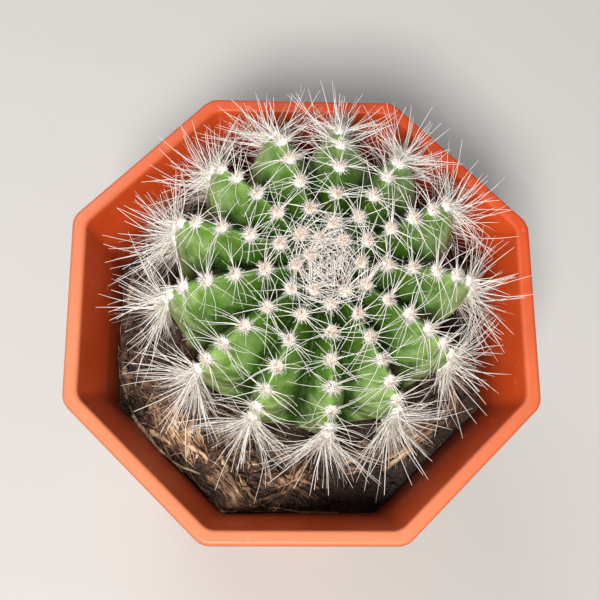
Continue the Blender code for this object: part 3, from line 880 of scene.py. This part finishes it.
areoles = []
areole_distances = []
for rib, (azimuth, first, spacing) in enumerate(ball_ribs):
    distances = []
    distance = first
    while ball_point(crest_theta(distance), rib)[0].z >= lowest_areole:
        distances.append(distance)
        areoles.append((rib, crest_theta(distance)))
        distance += spacing + areole_step_growth * 2 * len(distances)
    areole_distances.append(distances)


def cactus_skin():
    """Waxy skin: vivid green, with painted shade near the crown and in the furrows, a painted highlight
    along the rib crests, and a pale bloom low down.
    """
    material, tree, shader = new_material("cactus_skin", 0.48)
    crest = read_attribute(tree, "crest")
    side = read_attribute(tree, "side")
    marks = add_speckle(tree, 0.5, 0.22, 3.4, 0.35)
    unevenness = remap(tree, marks["Blotches"], 0.3, 0.7, -0.26, 0.16)
    # The ramp over the crest value paints shade into the furrows and a highlight along the crests.
    colour = colour_ramp(
        tree, calculate(tree, "ADD", crest, unevenness),
        ((0.03, (0.008, 0.034, 0.001)), (0.14, (0.020, 0.075, 0.002)), (0.36, (0.057, 0.172, 0.005)),
         (0.88, (0.108, 0.25, 0.007)), (0.98, (0.135, 0.265, 0.022))),
    )
    # Painted shade: the skin is darkened towards the crown.
    colour = mix_colour(tree, remap(tree, side, 0.14, 0.66, 0.96, 0.0), colour, (0.007, 0.024, 0.001))
    colour = mix_colour(tree, remap(tree, marks["Grain"], 0.5, 0.68, 0.0, 0.4), colour, (0.125, 0.24, 0.03))
    bloom = calculate(tree, "MULTIPLY", remap(tree, side, 0.34, 0.9), remap(tree, crest, 0.12, 0.45))
    bloom = calculate(tree, "MULTIPLY", bloom, remap(tree, marks["Blotches"], 0.4, 0.58, 0.12, 1.0))
    colour = mix_colour(tree, bloom, colour, (0.35, 0.48, 0.195))
    colour = mix_colour(tree, calculate(tree, "MULTIPLY", marks["Specks"], 0.16), colour, (0.34, 0.45, 0.22))
    tree.links.new(remap(tree, bloom, 0.0, 1.0, 0.38, 0.62), shader.inputs["Roughness"])
    link_surface(tree, shader, colour, marks, 0.25, 0.08)
    return material


# A sphere's rows follow the crest profile and its columns follow the ribs.
bm = bmesh.new()
sides = len(ball_ribs) * rib_sides
bmesh.ops.create_uvsphere(bm, u_segments=sides, v_segments=body_rows, radius=1)
crest_layer = bm.verts.layers.float.new("crest")
side_layer = bm.verts.layers.float.new("side")
for vert in bm.verts:
    theta = math.acos(max(min(vert.co.z, 1), -1))
    turn = math.atan2(vert.co.y, vert.co.x) % math.tau
    position = round(turn / math.tau * sides) / rib_sides
    from_crest = 1 - abs(2 * (position % 1) - 1)
    rib = round(position) % len(ball_ribs)
    distance = crest_lengths[min(round(theta / crest_end * crest_steps), crest_steps)]
    nearest = min(abs(distance - other) for other in areole_distances[rib])
    knob = 0.32 * math.exp(-(nearest / 1.1) ** 2) * math.exp(-(from_crest / 0.14) ** 2)
    swell = 0.22 * noise.noise(vert.co * 4.3) * min(1, theta * 2) * from_crest
    vert.co = ball_point(theta, position, knob + swell)[0]
    vert[crest_layer] = 1 - from_crest
    vert[side_layer] = min(theta / (math.pi / 2), 1.5)
add_piece(bm, "cactus_body", cactus_skin(), "cactus")


# Wool: every areole is a round tuft of short white wool, peach-coloured in its middle when it
# is young. The crown is filled with the wool of areoles that are still packed together. Towards
# the crown the wool is darkened as painted shade.
plant_rng = random.Random(8)
crown_point, crown_axis = ball_point(0.001, 0)
areole_hairs = 110
crown_tufts = 22
golden_turn = math.radians(137.5)


def random_vector(reach):
    """A vector with three random parts, each within a reach."""
    return Vector([plant_rng.uniform(-reach, reach) for axis in range(3)])


def areole_frame(rib, theta):
    """An areole's place, its outward direction, the direction down its rib and its share of the way."""
    place, outward = ball_point(theta, rib, 0.2)
    below = ball_point(theta + 0.03, rib)[0] - ball_point(theta - 0.03, rib)[0]
    below = (below - outward * below.dot(outward)).normalized()
    return place, outward, below, min(theta / (math.pi / 2), 1.0)


def tuft_direction(outward, lowest):
    """A random direction within a dome about an outward one, no flatter than its lowest rise."""
    while True:
        direction = random_vector(1)
        if 0.1 < direction.length < 1 and direction.normalized().dot(outward) > lowest:
            return direction.normalized()


def areole_wool():
    """Matt white wool, warmer where its tone is high, and at the top of its tone darkened to brown as
    painted shade.
    """
    material, tree, shader = new_material("areole_wool", 0.9)
    tone = read_attribute(tree, "tone")
    marks = add_speckle(tree, 0.3, 0.4, 1.2, 0.15)
    tone = calculate(tree, "ADD", tone, remap(tree, marks["Grain"], 0.3, 0.7, -0.12, 0.12))
    # The ramp's last stop, a dark brown, is painted shade for the crown and the youngest areoles.
    colour = colour_ramp(
        tree, tone,
        ((0.05, (0.84, 0.81, 0.77)), (0.38, (0.81, 0.67, 0.57)), (0.72, (0.76, 0.53, 0.41)),
         (0.97, (0.20, 0.125, 0.11))),
    )
    shader.inputs["Sheen Weight"].default_value = 0.3
    link_surface(tree, shader, colour, marks, 0.8, 0.15)
    return material


wool_material = areole_wool()


# Each areole is a low cushion with hairs all over it.
hair = strand_template(3, 1, 0.5)
batches = []
for rib, theta in areoles:
    place, outward, below, share = areole_frame(rib, theta)
    batch = bmesh.new()
    batches.append(batch)
    size = plant_rng.uniform(1.0, 1.16) * (0.94 + 0.12 * share)
    turn = outward.to_track_quat("Z", "X").to_matrix().to_4x4()
    shape = Matrix.Translation(place) @ turn @ Matrix.Diagonal((size * 0.82, size * 0.82, size * 0.62, 1))
    # Young areoles near the crown are peach, and towards the crown also darkened as painted shade.
    warmth_and_shade = plant_rng.uniform(0.65, 1.1) * (1.1 - 0.8 * share)
    tone_layer = add_strand_layers(batch)[0]
    cushion = bmesh.ops.create_icosphere(batch, subdivisions=2, radius=1, matrix=shape)["verts"]
    for vert in cushion:
        rise = (vert.co - place).normalized().dot(outward)
        vert[tone_layer] = 0.75 * warmth_and_shade * max(0.0, min(1.0, (rise - 0.2) / 0.6))
        vert.co += (vert.co - place) * plant_rng.uniform(-0.12, 0.12)
    for index in range(areole_hairs):
        direction = tuft_direction(outward, -0.05)
        rise = direction.dot(outward)
        root = place + direction * size * 0.58
        length = size * plant_rng.uniform(0.4, 1.0) * (1.15 - 0.45 * rise)
        tone = 0.75 * warmth_and_shade * max(0.0, min(1.0, (rise - 0.4) / 0.5)) * plant_rng.uniform(0.3, 1.0)
        direction = (direction + random_vector(0.5)).normalized()
        add_strand(batch, hair, [root, root + direction * length], plant_rng.uniform(0.03, 0.055), tone)
add_piece(join_batches(batches), "areole_wool", wool_material)

# The crown's young tufts are small and stand close together.
batches = []
turn = crown_axis.to_track_quat("Z", "X").to_matrix()
for index in range(crown_tufts):
    reach = 0.66 * math.sqrt(index)
    azimuth = index * golden_turn
    spot = turn @ level_direction(azimuth) * reach
    outward = (crown_axis + spot * 0.16).normalized()
    place = crown_point + spot + crown_axis * 0.16
    size = 0.36 + 0.09 * reach
    batch = bmesh.new()
    batches.append(batch)
    tone_layer = add_strand_layers(batch)[0]
    cushion = bmesh.ops.create_icosphere(
        batch, subdivisions=2, radius=size * 0.8, matrix=Matrix.Translation(place)
    )["verts"]
    # The crown's cushions take the wool's darkest tone, as painted shade.
    for vert in cushion:
        vert[tone_layer] = 1.0
    for number in range(3):
        direction = tuft_direction(outward, 0.0)
        root = place + direction * size * 0.5
        direction = (direction + random_vector(0.6)).normalized()
        tip = root + direction * size * plant_rng.uniform(0.6, 1.3)
        radius = plant_rng.uniform(0.025, 0.045)
        add_strand(batch, hair, [root, tip], radius, plant_rng.uniform(0.3, 0.95))
add_piece(join_batches(batches), "crown_wool", wool_material)


# Spines: thin white bristles, stiff but slightly bent, more than a dozen to an areole. They lie
# low over the ribs near the crown and stand out in thick brushes round the plant's side.
spine_floor_gap = 0.5
spine_wall_gap = 0.35
lip_clearance = 0.4
brush_azimuth = 215
clump_bristles = 7
crown_spine_count = 100


def is_clear(point):
    """Whether a point of a spine is clear of the soil, the pot's wall and its lip."""
    if point.z < bed_height(point.x, point.y) + spine_floor_gap:
        return False
    if point.z > pot_height + lip_clearance:
        return True
    return max(point.dot(flat) for flat in pot_flats) < wall_half_width(point.z) - spine_wall_gap


def spine_points(root, direction, length, steps, bow, kink):
    """Points of a slightly bent spine, turned up and shortened where it would meet soil or pot."""
    bend = direction.cross(random_vector(1)).normalized() * bow
    crook = direction.cross(random_vector(1)).normalized() * kink
    for attempt in range(16):
        points = []
        for step in range(steps + 1):
            share = step / steps
            offset = bend * share * share + crook * max(0.0, share - 0.62)
            points.append(root + (direction * share + offset) * length)
        if all(is_clear(point) for point in points[1:]):
            break
        direction = (direction + Vector((0, 0, 0.13))).normalized()
        length *= 0.965
    return points


def lean_over(first, second, angle):
    """The direction at an angle from one direction towards another that is square to it."""
    return first * math.cos(angle) + second * math.sin(angle)


def white_spine():
    """Glassy white bristle, creamier at its root and a little grey towards its tip, and turned beige by its
    tone as painted shade.
    """
    material, tree, shader = new_material("white_spine", 0.38)
    tone = read_attribute(tree, "tone")
    along = read_attribute(tree, "along")
    marks = add_speckle(tree, 0.5, 0.3, 2.0, 0.3)
    colour = colour_ramp(
        tree, along, ((0.0, (0.86, 0.76, 0.56)), (0.22, (0.87, 0.84, 0.80)), (1.0, (0.82, 0.78, 0.75)))
    )
    # Painted shade: the bristle's tone turns it a darker beige.
    painted_beige_shade = calculate(tree, "MULTIPLY", tone, remap(tree, marks["Blotches"], 0.35, 0.65, 0.4, 1.0))
    colour = mix_colour(tree, painted_beige_shade, colour, (0.74, 0.61, 0.51))
    link_surface(tree, shader, colour, marks, 0.2, 0.03)
    return material


spine_material = white_spine()


# Each areole has low radial spines and a few raised ones, and at the side a brush of bristles.
spine = strand_template(4, 5, 0.35)
bristle = strand_template(3, 5, 0.3)
batches = []
for rib, theta in areoles:
    place, outward, below, share = areole_frame(rib, theta)
    beside = outward.cross(below)
    batch = bmesh.new()
    batches.append(batch)
    brush = min(1.0, max(0.0, (theta / (math.pi / 2) - 0.86) / 0.22))
    facing = 0.5 + 0.5 * math.cos(math.radians(ball_ribs[rib][0] - brush_azimuth))
    fullness = brush * (0.4 + 0.6 * facing)
    reach = 5.2 + 1.6 * share + 4.9 * brush
    for index in range(10 + round(3 * brush)):
        angle = (-1) ** index * plant_rng.gauss(1.65 - 0.6 * brush, 0.6)
        rise = plant_rng.uniform(0.08, 0.5) + 0.5 * brush * plant_rng.random()
        flat = lean_over(below, beside, angle)
        direction = lean_over(flat, outward, rise).normalized()
        points = spine_points(
            place + outward * 0.2 + flat * 0.4, direction, reach * plant_rng.uniform(0.6, 1.15), 5,
            plant_rng.uniform(0.06, 0.34), plant_rng.uniform(0.0, 0.35),
        )
        tone = plant_rng.random() ** 2 * 0.4
        add_strand(batch, spine, points, plant_rng.uniform(0.042, 0.064) * (1 + 0.6 * brush), tone)
    for index in range(round(3 + 3 * brush)):
        lean = plant_rng.uniform(0.1, 0.9)
        angle = plant_rng.uniform(0, math.tau)
        flat = lean_over(below, beside, angle)
        direction = lean_over(outward, flat, lean).normalized()
        points = spine_points(
            place + outward * 0.3, direction, reach * plant_rng.uniform(0.6, 0.95 + 0.25 * brush), 5,
            plant_rng.uniform(0.02, 0.15), plant_rng.uniform(0.0, 0.3),
        )
        radius = plant_rng.uniform(0.055, 0.085) * (1 + 0.35 * brush)
        add_strand(batch, spine, points, radius, 0.2 * plant_rng.random())
    for clump in range(round(17 * fullness)):
        angle = plant_rng.gauss(0, 0.7 + 0.25 * facing)
        rise = plant_rng.uniform(0.4 * (1 - facing), 1.2)
        flat = lean_over(below, beside, angle)
        heading = lean_over(flat, outward, rise).normalized()
        length = reach * plant_rng.uniform(0.4, 0.85)
        bow = plant_rng.uniform(0.02, 0.1 + 0.2 * facing)
        kink = plant_rng.uniform(0.0, 0.1 + 0.35 * facing)
        # A clump's tone sets how much painted shade turns its bristles beige.
        clump_tone = plant_rng.uniform(0.3, 1.0)
        for number in range(clump_bristles):
            stray = random_vector(1)
            root = place + outward * 0.2 + stray * 0.55
            aim = (place + heading * length + stray * 0.12 * length - root).normalized()
            reach_out = length * plant_rng.uniform(0.8, 1.05)
            points = spine_points(root, aim, reach_out, 5, bow, kink)
            tone = clump_tone * plant_rng.uniform(0.6, 1.2)
            add_strand(batch, bristle, points, plant_rng.uniform(0.026, 0.044), tone)
add_piece(join_batches(batches), "rib_spines", spine_material)


# Fine young spines lean in over the dimple from all round it and cross one another.
template = strand_template(3, 6, 0.4)
turn = crown_axis.to_track_quat("Z", "X").to_matrix()
batches = []
for index in range(crown_spine_count):
    if index % 60 == 0:
        batches.append(bmesh.new())
    azimuth = plant_rng.uniform(0, math.tau)
    reach = plant_rng.uniform(1.6, 4.6)
    spot = turn @ level_direction(azimuth) * reach
    root = crown_point + spot + crown_axis * plant_rng.uniform(0.6, 1.1)
    heading = azimuth + math.pi + plant_rng.uniform(-1.15, 1.15)
    direction = turn @ Vector((math.cos(heading), math.sin(heading), plant_rng.uniform(0.1, 0.55)))
    points = spine_points(
        root, direction.normalized(), plant_rng.uniform(3.6, 7.0), 6,
        plant_rng.uniform(0.15, 0.5), plant_rng.uniform(0.0, 0.3),
    )
    add_strand(batches[-1], template, points, plant_rng.uniform(0.055, 0.085), plant_rng.random() * 0.3)
add_piece(join_batches(batches), "crown_spines", spine_material)
